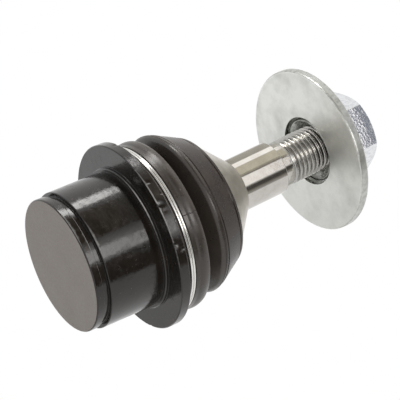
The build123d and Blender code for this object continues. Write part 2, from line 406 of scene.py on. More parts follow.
@dataclass(frozen=True)
class BlackElectroCoat:
    """Black electro-deposited primer on a forged and turned cup: satin, slightly pebbled, rubbed on its edges, with
    painted highlight lines of bare metal along them.
    """

    name: str
    coat: str = "15110d"
    coat_worn: str = "201b16"
    steel: str = "a5a3a0"
    pale_tone: str = "6c665e"
    roughness: float = 0.12

    def make(self) -> Material:
        """Build the coat: faint cloudiness, a fine orange peel, and bare metal where the painted attribute is high,
        which is partly real wear and partly painted highlight lines on the edges.

        Returns:
            The material.
        """
        surface = Surface(self.name)
        place = surface.place
        clouds = surface.add("TexNoise", {"Vector": place, "Scale": per_mm(7.0), "Detail": 5.0, "Roughness": 0.6})
        peel = surface.add("TexNoise", {"Vector": place, "Scale": per_mm(1.3), "Detail": 5.0, "Roughness": 0.6})
        chips = surface.add("TexNoise", {"Vector": place, "Scale": per_mm(1.6), "Detail": 6.0, "Roughness": 0.7})
        specks = surface.add("TexNoise", {"Vector": place, "Scale": per_mm(0.5), "Detail": 1.0, "Roughness": 0.4})
        haze = surface.add("TexNoise", {"Vector": place, "Scale": per_mm(3.2), "Detail": 7.0, "Roughness": 0.7})
        clouded = surface.add("MapRange", {"Value": clouds, "From Min": 0.42, "From Max": 0.72})
        base = surface.add("MixRGB", {"Fac": clouded, "Color1": self.coat, "Color2": self.coat_worn})
        speckled = surface.add("MapRange", {"Value": specks, "From Min": 0.77, "From Max": 0.8, "To Max": 0.6})
        dotted = surface.add("MixRGB", {"Fac": speckled, "Color1": base, "Color2": self.pale_tone})
        # Bare metal where the painted attribute is high: partly real wear, partly painted highlight lines along the
        # edges.
        wear_and_edge_highlight = surface.add("Attribute", attribute_name="wear_and_edge_highlight").outputs["Fac"]
        rubbed = surface.add("Math", {0: chips, 1: 0.5, 2: wear_and_edge_highlight}, operation="MULTIPLY_ADD")
        bare_and_highlight = surface.add("MapRange", {"Value": rubbed, "From Min": 0.55, "From Max": 1.15})
        colour = surface.add("MixRGB", {"Fac": bare_and_highlight, "Color1": dotted, "Color2": self.steel})
        spread = {"To Min": self.roughness - 0.05, "To Max": self.roughness + 0.06}
        even = surface.add("MapRange", {"Value": peel, **SWING, **spread})
        dull = surface.add("MapRange", {"Value": haze, "From Min": 0.5, "From Max": 0.66, "To Max": 0.16})
        gloss = surface.add("Math", {0: even, 1: dull}, operation="ADD")
        height = surface.add("Math", {0: peel, 1: 0.5, 2: clouds}, operation="MULTIPLY_ADD")
        return surface.finish(colour, gloss, height, strength=0.55, depth=0.09, Metallic=bare_and_highlight)


@dataclass(frozen=True)
class PressedEndCoat:
    """The same primer where the press tool has flattened it: greyer, with short rubbed marks."""

    name: str
    coat: str = "8d8680"
    coat_dark: str = "878079"
    roughness: float = 0.5

    def make(self) -> Material:
        """Build the rubbed end face: a matte grey-brown film with fine scuffs.

        Returns:
            The material.
        """
        surface = Surface(self.name)
        place = surface.place
        film = surface.add("TexNoise", {"Vector": place, "Scale": per_mm(9.0), "Detail": 6.0, "Roughness": 0.65})
        scuff = surface.add("TexNoise", {"Vector": place, "Scale": per_mm(0.8), "Detail": 3.0})
        cloudy = surface.add("MapRange", {"Value": film, "From Min": 0.35, "From Max": 0.7})
        colour = surface.add("MixRGB", {"Fac": cloudy, "Color1": self.coat, "Color2": self.coat_dark})
        spread = {"To Min": self.roughness - 0.06, "To Max": self.roughness + 0.12}
        gloss = surface.add("MapRange", {"Value": scuff, **SWING, **spread})
        return surface.finish(colour, gloss, scuff, strength=0.25, depth=0.02, Metallic=0.1)


@dataclass(frozen=True)
class MouldedRubber:
    """Chloroprene rubber as moulded: soft grey sheen on a near-black body, with dust specks and a flash line."""

    name: str
    body: str = "1f1813"
    bloom: str = "2f2720"
    # Colour of the paler film on the folds; none on the band.
    pale_tone: str = "413c37"
    speck: str = "6a665f"
    roughness: float = 0.3
    parting: float = 118.0
    parting_top: float = 15.9
    parting_fade: float = 0.4
    parting_wander: float = 0.35
    parting_core: float = 0.05
    parting_edge: float = 0.17

    def make(self) -> Material:
        """Build the rubber: grain, greyer bloom in patches, a paler film with stronger sheen on the folds where the
        attribute is painted, and a few pale specks.

        Returns:
            The material.
        """
        surface = Surface(self.name)
        place = surface.place
        bloom = surface.add("TexNoise", {"Vector": place, "Scale": per_mm(6.0), "Detail": 5.0, "Roughness": 0.6})
        # The real grain is under 0.1 mm, and is drawn as coarse as it needs to be to show.
        grain = surface.add("TexNoise", {"Vector": place, "Scale": per_mm(0.35), "Detail": 3.0, "Roughness": 0.6})
        specks = surface.add("TexNoise", {"Vector": place, "Scale": per_mm(0.55), "Detail": 1.0, "Roughness": 0.4})
        # Paler film and stronger sheen on the folds than on the band.
        fold_toned = surface.add("Attribute", attribute_name="pale_tone").outputs["Fac"]
        greyed = surface.add("MapRange", {"Value": bloom, "From Min": 0.4, "From Max": 0.75})
        clean = surface.add("MixRGB", {"Fac": greyed, "Color1": self.body, "Color2": self.bloom})
        film = surface.add("Math", {0: fold_toned, 1: 0.45}, operation="MULTIPLY")
        filmed = surface.add("MixRGB", {"Fac": film, "Color1": clean, "Color2": self.pale_tone})
        speckled = surface.add("MapRange", {"Value": specks, "From Min": 0.76, "From Max": 0.8, "To Max": 0.7})
        dotted = surface.add("MixRGB", {"Fac": speckled, "Color1": filmed, "Color2": self.speck})
        seam = self.seam(surface)
        colour = surface.add("MixRGB", {"Fac": seam, "Color1": dotted, "Color2": self.body})
        spread = {"To Min": self.roughness - 0.1, "To Max": self.roughness + 0.12}
        gloss = surface.add("MapRange", {"Value": bloom, "From Min": 0.3, "From Max": 0.75, **spread})
        pores = surface.add("Math", {0: grain, 1: 0.4, 2: bloom}, operation="MULTIPLY_ADD")
        height = surface.add("Math", {0: seam, 1: -3.0, 2: pores}, operation="MULTIPLY_ADD")
        shine = surface.add("MapRange", {"Value": fold_toned, "To Min": 0.26, "To Max": 0.5})
        return surface.finish(colour, gloss, height, strength=0.45, depth=0.06, Specular_IOR_Level=shine)

    def seam(self, surface: Surface) -> bpy.types.Node:
        """Draw the thin dark parting line that crosses the first convolution on both sides.

        Args:
            surface: the rubber's tree.

        Returns:
            A node that gives 1 on the line and 0 off it.
        """
        place = surface.place
        turn = math.radians(self.parting)
        across = (-math.sin(turn), math.cos(turn), 0.0)
        away = surface.add("VectorMath", {0: place, 1: across}, operation="DOT_PRODUCT").outputs["Value"]
        wander = surface.add("TexNoise", {"Vector": place, "Scale": per_mm(1.8), "Detail": 4.0, "Roughness": 0.7})
        swayed = {"To Min": -self.parting_wander * MM, "To Max": self.parting_wander * MM}
        shift = surface.add("MapRange", {"Value": wander, **SWING, **swayed})
        offset = surface.add("Math", {0: away, 1: shift}, operation="ADD")
        near = surface.add("Math", {0: offset}, operation="ABSOLUTE")
        width = {"From Min": self.parting_core * MM, "From Max": self.parting_edge * MM}
        line = surface.add("MapRange", {"Value": near, **width, "To Min": 1.0, "To Max": 0.0})
        height = surface.add("SeparateXYZ", {0: place}).outputs[2]
        fade = {"From Min": (self.parting_top - self.parting_fade) * MM, "From Max": self.parting_top * MM}
        below = surface.add("MapRange", {"Value": height, **fade, "To Min": 1.0, "To Max": 0.0})
        return surface.add("Math", {0: line, 1: below}, operation="MULTIPLY")


@dataclass(frozen=True)
class WorkedSteel:
    """Bare steel, ground or turned: fine lines run round the axis where the wheel or tool passed.

    The real lines lie a few hundredths of a millimetre apart, and are drawn as coarse as they need to show.
    """

    name: str
    steel: str = "c4c1bc"
    shade: str = "b4b0aa"
    roughness: float = 0.085
    spread: float = 0.03
    line: float = 0.12
    lines_round: float = 3.0
    depth: float = 0.002
    marks: Direction = Direction.ROUND

    def make(self) -> Material:
        """Build the steel: tool lines in its bump and gloss, cloudy tone, and a few cross scratches.

        Returns:
            The material.
        """
        surface = Surface(self.name)
        place = surface.place
        clouds = surface.add("TexNoise", {"Vector": place, "Scale": per_mm(5.0), "Detail": 4.0, "Roughness": 0.6})
        if self.marks is Direction.ROUND:
            followed = {"Vector": surface.wrapped(self.line, self.lines_round), "Scale": 1.0}
        else:
            followed = {"Vector": place, "Scale": per_mm(self.line)}
        tool = surface.add("TexNoise", {**followed, "Detail": 3.0, "Roughness": 0.6})
        drawn_out = {"Vector": place, "Rotation": (0.5, 0.9, 0.4), "Scale": (1.0, 14.0, 1.0)}
        stretched = surface.add("Mapping", drawn_out)
        scratch = surface.add("TexNoise", {"Vector": stretched, "Scale": per_mm(4.5)})
        cloudy = surface.add("MapRange", {"Value": clouds, "From Min": 0.35, "From Max": 0.7})
        colour = surface.add("MixRGB", {"Fac": cloudy, "Color1": self.steel, "Color2": self.shade})
        spread = {"To Min": self.roughness - self.spread, "To Max": self.roughness + self.spread}
        gloss = surface.add("MapRange", {"Value": tool, **SWING, **spread})
        cut = surface.add("MapRange", {"Value": scratch, "From Min": 0.7, "From Max": 0.76})
        height = surface.add("Math", {0: cut, 1: -0.8, 2: tool}, operation="MULTIPLY_ADD")
        return surface.finish(colour, gloss, height, strength=0.6, depth=self.depth, Metallic=1.0)


@dataclass(frozen=True)
class ZincPlate:
    """Clear-passivated zinc on pressed or forged steel: pale, cloudy, with a slightly wavy skin."""

    name: str
    zinc: str = "e3e4e0"
    stain: str = "c3c4c0"
    roughness: float = 0.36
    wave: float = 3.5
    depth: float = 0.02
    cloud: float = 9.0
    pebble: float = 0.12

    def make(self) -> Material:
        """Build the plating: crystalline clouds in tone and gloss over a wavy surface.

        Returns:
            The material.
        """
        surface = Surface(self.name)
        place = surface.place
        crystals = {"Vector": place, "Scale": per_mm(self.cloud), "Detail": 6.0, "Roughness": 0.6}
        clouds = surface.add("TexNoise", crystals)
        # The real crystals are a few hundredths of a millimetre, and are drawn as coarse as they need to show.
        grain = surface.add("TexNoise", {"Vector": place, "Scale": per_mm(0.4)})
        waves = surface.add("TexNoise", {"Vector": place, "Scale": per_mm(self.wave), "Roughness": 0.4})
        cloudy = surface.add("MapRange", {"Value": clouds, "From Min": 0.42, "From Max": 0.8})
        colour = surface.add("MixRGB", {"Fac": cloudy, "Color1": self.zinc, "Color2": self.stain})
        spread = {"To Min": self.roughness - 0.06, "To Max": self.roughness + 0.1}
        gloss = surface.add("MapRange", {"Value": clouds, **SWING, **spread})
        height = surface.add("Math", {0: grain, 1: self.pebble, 2: waves}, operation="MULTIPLY_ADD")
        return surface.finish(colour, gloss, height, strength=0.7, depth=self.depth, Metallic=1.0)


@dataclass(frozen=True)
class MouldedAcetal:
    """Acetal as moulded: milky white, waxy, with a faint flow pattern."""

    name: str
    resin: str = "e4e1d8"
    flow: str = "cfcabd"
    roughness: float = 0.38

    def make(self) -> Material:
        """Build the plastic: slight flow marks in tone and a fine spark-eroded grain.

        Returns:
            The material.
        """
        surface = Surface(self.name)
        marks = surface.add("TexNoise", {"Vector": surface.place, "Scale": per_mm(6.0), "Detail": 3.0})
        colour = surface.add("MixRGB", {"Fac": marks, "Color1": self.resin, "Color2": self.flow})
        # The real grain is under 0.1 mm, and is drawn as coarse as it needs to be to show.
        grain = surface.add("TexNoise", {"Vector": surface.place, "Scale": per_mm(0.3)})
        return surface.finish(colour, self.roughness, grain, strength=0.3, depth=0.02, IOR=1.48)


TURNED_CONE = WorkedSteel("turned_cone_steel", steel="c6c0b7", shade="ada79d", roughness=0.3, line=0.3, depth=0.008)
ROLLED_THREAD = WorkedSteel(
    "rolled_thread_steel", steel="bcbab6", shade="a3a19d", roughness=0.2, line=0.5, depth=0.0004, marks=Direction.NONE
)
SPRING_WIRE = WorkedSteel(
    "drawn_spring_wire", steel="e4e2de", shade="d0cec9", roughness=0.14, line=0.5, depth=0.0003, marks=Direction.NONE
)
PRESSED_STRIP = WorkedSteel(
    "pressed_strip_steel", steel="aaa69f", shade="8b877f", roughness=0.35, line=0.6, marks=Direction.NONE
)
# Darker tapped steel for the bores, also used as painted shade in the stud's undercut.
TAPPED_BORE_AND_RECESS_SHADE = WorkedSteel("tapped_steel_and_recess_shade", steel="acada8", shade="666761", roughness=0.22, line=0.4, depth=0.004)
SHEARED_EDGE = ZincPlate(
    "zinc_on_sheared_edge", zinc="bfc0bc", stain="93948f", roughness=0.34, wave=0.7, depth=0.05, cloud=1.6
)
FORGED_NUT = ZincPlate(
    "zinc_plated_forging", "e4e5e7", "bfc2c7", roughness=0.15, wave=0.75, depth=0.12, cloud=1.2, pebble=0.25
)


@dataclass(frozen=True)
class Palette:
    """Every finish of the joint, made once."""

    coat: Material = field(default_factory=BlackElectroCoat("black_electro_coat").make)
    end_face: Material = field(default_factory=PressedEndCoat("rubbed_end_coat").make)
    rubber: Material = field(default_factory=MouldedRubber("moulded_chloroprene").make)
    ground: Material = field(default_factory=WorkedSteel("ground_bearing_steel").make)
    cone: Material = field(default_factory=TURNED_CONE.make)
    thread: Material = field(default_factory=ROLLED_THREAD.make)
    wire: Material = field(default_factory=SPRING_WIRE.make)
    pressed: Material = field(default_factory=PRESSED_STRIP.make)
    # Tapped steel for the bores; on the stud it is painted shade in the undercut.
    bore: Material = field(default_factory=TAPPED_BORE_AND_RECESS_SHADE.make)
    washer: Material = field(default_factory=ZincPlate("zinc_plated_strip").make)
    sheared: Material = field(default_factory=SHEARED_EDGE.make)
    nut: Material = field(default_factory=FORGED_NUT.make)
    acetal: Material = field(default_factory=MouldedAcetal("moulded_acetal").make)


def dress(piece: Piece, finish: Material) -> None:
    """Give a piece one finish in place of what it had."""
    piece.data.materials.clear()
    piece.data.materials.append(finish)


def dress_face(piece: Piece, finish: Material, test: Callable[[Vector], bool]) -> None:
    """Give a second finish to the faces whose centre, in millimetres, passes a test.

    Args:
        piece: the mesh object.
        finish: the second finish.
        test: says whether a face centre belongs to it.
    """
    piece.data.materials.append(finish)
    for face in piece.data.polygons:
        if test(face.center / MM):
            face.material_index = len(piece.data.materials) - 1


# ---------------------------------------------------------------- pieces


@dataclass
class SubAssembly:
    """Pieces that belong together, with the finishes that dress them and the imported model's own objects."""

    palette: Palette
    nodes: dict[str, Piece]

    def build(self) -> None:
        """Make the pieces, dress them and mount them on their bodies."""
        raise NotImplementedError


@dataclass
class Housing(SubAssembly):
    """The cup with its barrel, flange and boot neck, and what it holds inside."""

    closed_end: float = -20.0
    pilot_radius: float = 19.9
    pilot_end: float = -17.5
    groove_end: float = -15.7
    groove_radius: float = 19.2
    barrel_radius: float = 20.5
    step_start: float = 1.4
    step_radius: float = 21.3
    flange_seat: float = 2.5
    flange_radius: float = 27.85
    flange_back: float = 5.5
    neck_radius: float = 22.4
    neck_lip: float = 0.7
    lip_height: float = 0.9
    top: float = 10.0
    ring_base: float = 6.8
    ring_top: float = 8.8
    ring_radius: float = 17.0
    crimp_reach: float = 1.6
    bore_radius: float = 15.5
    cavity_floor: float = -15.6
    groove_break: float = 0.18
    run_out: float = 0.2
    run_out_from: float = 2.0
    run_out_to: float = 0.6
    step_land: float = 0.1
    rubbed: float = 0.26
    uneven: float = 0.012
    # Heading of the side toward the camera, where the bare metal on the edges is strongest; it is partly wear and
    # partly painted highlight.
    camera_side_heading: float = 108.0
    least_off_camera_side: float = 0.3
    wear_and_highlight_reach: float = 0.03
    scuff_spread: float = 24.0
    scuff_band: float = 0.4
    # Heading, height, width and depth of each knock on the flange's rim.
    dents: tuple[tuple[float, float, float, float], ...] = (
        (91.7, 3.0, 1.0, 0.22),
        (100.5, 4.9, 1.1, 0.25),
        (107.4, 2.9, 1.3, 0.4),
        (111.4, 3.6, 0.9, 0.3),
        (131.5, 3.1, 1.3, 0.4),
        (135.1, 4.8, 1.1, 0.35),
        (52.0, 5.3, 1.2, 0.2),
        (228.0, 2.8, 1.1, 0.25),
        (310.0, 5.2, 1.3, 0.22),
    )

    def section(self) -> list[Point2]:
        """Draw the half section of the cup, with the small breaks on its edges.

        Returns:
            (radius, height) points.
        """
        lip_radius = self.neck_radius + self.neck_lip
        lip_base = self.top - self.lip_height
        mouth = self.ring_radius - self.crimp_reach
        trough = self.barrel_radius - self.run_out
        step = self.step_start + self.step_land
        corners = [
            (0.0, self.closed_end),
            (self.pilot_radius, self.closed_end, 0.5),
            (self.pilot_radius, self.pilot_end, 0.2),
            (self.groove_radius, self.pilot_end, 0.1),
            (self.groove_radius, self.groove_end, 0.1),
            (self.barrel_radius - self.groove_break, self.groove_end, 0.05),
            (self.barrel_radius, self.groove_end + self.groove_break, 0.08),
            (self.barrel_radius, self.step_start - self.run_out_from, 3.0),
            (trough, self.step_start - self.run_out_to, 0.8),
            (trough, step, 0.05),
            (self.step_radius - self.rubbed, step, 0.04),
            (self.step_radius, step + self.rubbed, 0.04),
            (self.step_radius, self.flange_seat, 0.1),
            (self.flange_radius - self.rubbed, self.flange_seat, 0.05),
            (self.flange_radius, self.flange_seat + self.rubbed, 0.05),
            (self.flange_radius, self.flange_back, 0.25),
            (self.neck_radius, self.flange_back),
            (self.neck_radius, lip_base - self.neck_lip),
            (lip_radius, lip_base),
            (lip_radius, self.top, 0.5),
            (mouth, self.top, 0.5),
            (mouth, self.ring_top),
            (self.ring_radius, self.ring_top),
            (self.ring_radius, self.ring_base),
            (self.bore_radius, self.ring_base),
            (self.bore_radius, self.cavity_floor, 3.0),
            (0.0, self.cavity_floor),
        ]
        return divided(rounded(corners, steps=5), longest=1.2)

    def shaped(self, point: Vector) -> Vector:
        """Move a point by the forging's slight unevenness and the knocks on the flange's rim.

        Args:
            point: on the smooth cup.

        Returns:
            Where it goes.
        """
        radius = math.hypot(point.x, point.y)
        if radius < self.bore_radius + 0.2:
            return point
        moved = point - point.normalized() * (self.uneven + drift(point, size=6.0, amount=self.uneven, seed=3.0))
        for heading, height, width, depth in self.dents:
            knock = polar(self.flange_radius, math.radians(heading), height)
            away = (point - knock).length / width
            if away < 1:
                moved -= Vector((knock.x, knock.y, 0)).normalized() * depth * (1 - away * away) ** 2
        return moved

    def wear_and_edge_highlight(self, point: Vector) -> float:
        """Say how far the coat is rubbed to bare metal on the turned edges and the flange's rim: partly real wear,
        partly painted highlight lines, strongest on the side toward the camera.

        Args:
            point: on the cup.

        Returns:
            From 0 to 1.
        """
        radius = math.hypot(point.x, point.y)
        heading = math.degrees(math.atan2(point.y, point.x))
        middle = self.rubbed / 2
        # Radius, height, how worn, the heading where it is most worn, and how many degrees that spreads; each edge's
        # bare metal is partly wear and partly painted highlight.
        edges = (
            (self.pilot_radius, self.closed_end + 0.4, 0.9, 92.0, 16.0),
            (self.pilot_radius, self.pilot_end, 2.0, self.camera_side_heading, 18.0),
            (self.barrel_radius, self.groove_end + self.groove_break, 0.62, self.camera_side_heading, 15.0),
            (self.step_radius - middle, self.step_start + self.step_land + middle, 1.6, 98.0, 20.0),
            (self.flange_radius - middle, self.flange_seat + middle, 1.5, self.camera_side_heading, 25.0),
            (self.flange_radius, self.flange_back, 0.9, 104.0, 20.0),
        )
        most = 0.0
        for edge_radius, edge_height, weight, side, spread in edges:
            away = (heading - side + 180.0) % 360.0 - 180.0
            hard = self.least_off_camera_side + (1.0 - self.least_off_camera_side) * math.exp(-((away / spread) ** 2))
            near = math.exp(-((radius - edge_radius) ** 2 + (point.z - edge_height) ** 2) / self.wear_and_highlight_reach)
            most = max(most, weight * hard * near)
        if radius > self.flange_radius - self.scuff_band:
            scuffed = math.exp(-(((heading - self.camera_side_heading) / self.scuff_spread) ** 2))
            patches = smooth_share(drift(point, size=1.4, amount=1.0, seed=11.0), start=0.35, end=0.75)
            most = max(most, scuffed * patches)
        return min(1.0, most)

    def build(self) -> None:
        """Make the cup, and dress the seat and closing ring that it holds."""
        cup = turned("cup_body", self.section(), segments=360, shape=self.shaped)
        # Bare metal on the edges: partly wear, partly painted highlight lines on the side toward the camera.
        paint(cup, "wear_and_edge_highlight", self.wear_and_edge_highlight)
        dress(cup, self.palette.coat)
        dress_face(cup, self.palette.end_face, lambda centre: centre.z < self.closed_end + 0.06)
        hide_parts("housing")
        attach(cup, "housing")
        dress(self.nodes["ball_seat"], self.palette.acetal)
        dress(self.nodes["closing_ring"], self.palette.pressed)
        LOG.info("housing: cup_body, ball_seat, closing_ring")


@dataclass
class Boot(SubAssembly):
    """The rubber boot: bead, two convolutions and tapered band, in two halves that meet in the deep valley."""

    bead_base: float = 5.52
    bead_bore: float = 22.42
    bead_radius: float = 25.05
    wire_groove_radius: float = 24.6
    wire_groove: Point2 = (7.08, 9.26)
    bead_top: float = 10.4
    first_crest: Point2 = (25.75, 11.9)
    first_limb: Point2 = (25.2, 13.6)
    valley: Point2 = (19.3, 15.8)
    fold_foot: Point2 = (21.2, 17.0)
    fold_swell: Point2 = (24.5, 18.5)
    second_crest: Point2 = (24.4, 19.4)
    band_base: Point2 = (24.1, 20.5)
    band_top: Point2 = (20.05, 28.3)
    lip_back: float = 1.3
    lip_depth: float = 0.25
    lip_half: float = 0.3
    rim_bore: float = 19.5
    lip_top: float = 26.8
    lip_base: float = 25.2
    hub_bore: float = 12.3
    wall: float = 1.5
    fold_wall: float = 1.9
    valley_half: float = 0.35
    inner_valley_half: float = 0.6
    lip_undercut: float = 0.65
    lip_pocket: float = 2.2
    inner_foot: Point2 = (8.4, 9.15)
    bend: Point2 = (10.4, 20.5)

    def leaned(self, point: Vector) -> Vector:
        """Bend a point with the boot, from the housing's axis at its foot to the stud's at its band."""
        share = smooth_share(point.z, *self.bend)
        return Matrix.Rotation(math.radians(STUD_LEAN) * share, 3, "Y") @ point

    def lower_section(self) -> list[Point2]:
        """Draw the half section from the flange to the valley.

        Returns:
            (radius, height) points.
        """
        first_r, first_z = self.first_crest
        valley_r, valley_z = self.valley
        low, high = self.wire_groove
        foot_low, foot_high = self.inner_foot
        corners = [
            (self.bead_bore, self.bead_base),
            (self.bead_radius, self.bead_base, 0.25),
            (self.bead_radius, low, 0.12),
            (self.wire_groove_radius, low, 0.1),
            (self.wire_groove_radius, high, 0.1),
            (self.bead_radius, high, 0.12),
            (self.bead_radius + 0.1, self.bead_top, 1.0),
            (first_r, first_z, 3.0),
            (*self.first_limb, 0.95),
            (valley_r, valley_z - self.valley_half, 0.3),
            (valley_r, valley_z),
            (valley_r - self.wall, valley_z),
            (valley_r - self.wall, valley_z - self.inner_valley_half, 0.4),
            (first_r - self.fold_wall, first_z, 1.0),
            (self.bead_bore + 0.75, self.bead_top),
            (self.bead_bore + 0.72, foot_high),
            (self.bead_bore, foot_low),
        ]
        return divided(rounded(corners, steps=8), longest=0.6)

    def upper_section(self) -> list[Point2]:
        """Draw the half section from the valley to the lip behind the seat cone.

        Returns:
            (radius, height) points.
        """
        second_r, second_z = self.second_crest
        valley_r, valley_z = self.valley
        base_r, base_z = self.band_base
        top_r, top_z = self.band_top
        corners = [
            (valley_r - self.wall, valley_z),
            (valley_r, valley_z),
            (valley_r, valley_z + self.valley_half, 0.3),
            (*self.fold_foot, 2.0),
            (*self.fold_swell, 1.6),
            (second_r, second_z, 1.0),
            (base_r - 0.15, base_z - 0.1, 0.1),
            (base_r, base_z, 0.2),
            *self.lip_groove(),
            (top_r, top_z, 0.15),
            (self.rim_bore, top_z, 0.1),
            (self.rim_bore, self.lip_top),
            (self.hub_bore, self.lip_top, 0.2),
            (self.hub_bore, self.lip_base, 0.2),
            (self.rim_bore + self.lip_undercut, self.lip_base),
            (self.rim_bore + self.lip_undercut, self.lip_base - self.lip_pocket),
            (base_r - 4.4, self.lip_base - self.lip_pocket),
            (base_r - 3.1, base_z),
            (second_r - self.fold_wall, second_z - 0.6, 0.8),
            (valley_r - self.wall, valley_z + self.inner_valley_half, 0.4),
        ]
        return divided(rounded(corners, steps=8), longest=0.6)

    def pale_fold_share(self, point: Vector) -> float:
        """How much paler and shinier the rubber is at a point: on the folds, up to the foot of the band."""
        foot = self.band_base[1]
        return 1.0 - smooth_share(point.z, foot - 0.6, foot)

    def lip_groove(self) -> list[Corner]:
        """Cut the shallow groove that sets off the lip at the band's top.

        Returns:
            Its corners, for the half section.
        """
        base, top = Vector(self.band_base), Vector(self.band_top)
        along = (top - base).normalized()
        out = Vector((along.y, -along.x))
        corners = []
        for side, depth in ((1, 0.0), (0, self.lip_depth), (-1, 0.0)):
            corner = top - along * (self.lip_back + side * self.lip_half) - out * depth
            corners.append((corner.x, corner.y, 0.1))
        return corners

    def build(self) -> None:
        """Make both halves, bent from the housing's axis to the stud's, and dress the lip ring."""
        lower = turned("boot_lower", self.lower_section(), segments=240, shape=self.leaned, sharp=60.0)
        upper = turned("boot_upper", self.upper_section(), segments=240, shape=self.leaned, sharp=60.0)
        for half, replaced in ((lower, ("boot_bead", "boot_bellows")), (upper, ("boot_band", "boot_bellows"))):
            paint(half, "pale_tone", self.pale_fold_share)
            dress(half, self.palette.rubber)
            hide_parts(*replaced)
        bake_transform(lower)
        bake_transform(upper)
        dress(self.nodes["boot_lip_ring"], self.palette.pressed)
        LOG.info("boot: boot_lower, boot_upper, boot_lip_ring")


@dataclass
class WireRing(SubAssembly):
    """Spring wire wound in touching turns, with cut ends."""

    wire_radius: float = 0.42
    ring_radius: float = 24.84
    first_height: float = 7.74
    pitch: float = 0.87
    turns: float = 2.04
    start_heading: float = -60.0
    steps_each: int = 300
    sides: int = 16
    slack: float = 0.03
    cut_end: float = 0.6

    def build(self) -> None:
        """Sweep the wire along its turns, close its two ends and let it ride on the housing."""
        steps = int(self.turns * self.steps_each)
        lowest, highest = self.first_height - self.slack, self.first_height + self.pitch + self.slack
        rings = []
        for step in range(steps + 1):
            turn = self.turns * step / steps
            angle = math.radians(self.start_heading) + math.tau * turn
            height = max(lowest, min(self.first_height + self.pitch * (turn - 0.5), highest))
            centre = polar(self.ring_radius, angle, height)
            out = polar(1.0, angle, 0.0)
            cap = self.wire_radius * (self.cut_end if step in (0, steps) else 1.0)
            rings.append([
                centre + out * cap * math.cos(phase) + Vector((0, 0, cap * math.sin(phase)))
                for phase in headings(self.sides)
            ])
        mesh = bmesh.new()
        rows = skin(mesh, rings)
        mesh.faces.new(rows[0])
        mesh.faces.new(rows[-1])
        coil = finished("spring_wire", mesh, sharp=50.0)
        dress(coil, self.palette.wire)
        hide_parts("boot_wire_ring")
        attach(coil, "housing")
        LOG.info("boot wire ring: spring_wire")


@dataclass
class MetricThread:
    """The helix that the stud's thread and the nut's share, right-handed."""

    crest: float = 7.0
    depth: float = 0.9
    pitch: float = 1.5
    crest_flat: float = 0.1
    flank: float = 0.78
    softness: float = 0.6

    def radius(self, angle: float, height: float) -> float:
        """Follow the thread's surface.

        Args:
            angle: in radians.
            height: along the axis.

        Returns:
            The radius there.
        """
        phase = (height / self.pitch - angle / math.tau) % 1.0
        slope = abs(phase - 0.5) * 2
        share = max(0.0, min(1.0, (slope - self.crest_flat) / self.flank))
        soft = self.softness * smooth_share(share, 0.0, 1.0)
        return self.crest - self.depth * ((1 - self.softness) * share + soft)


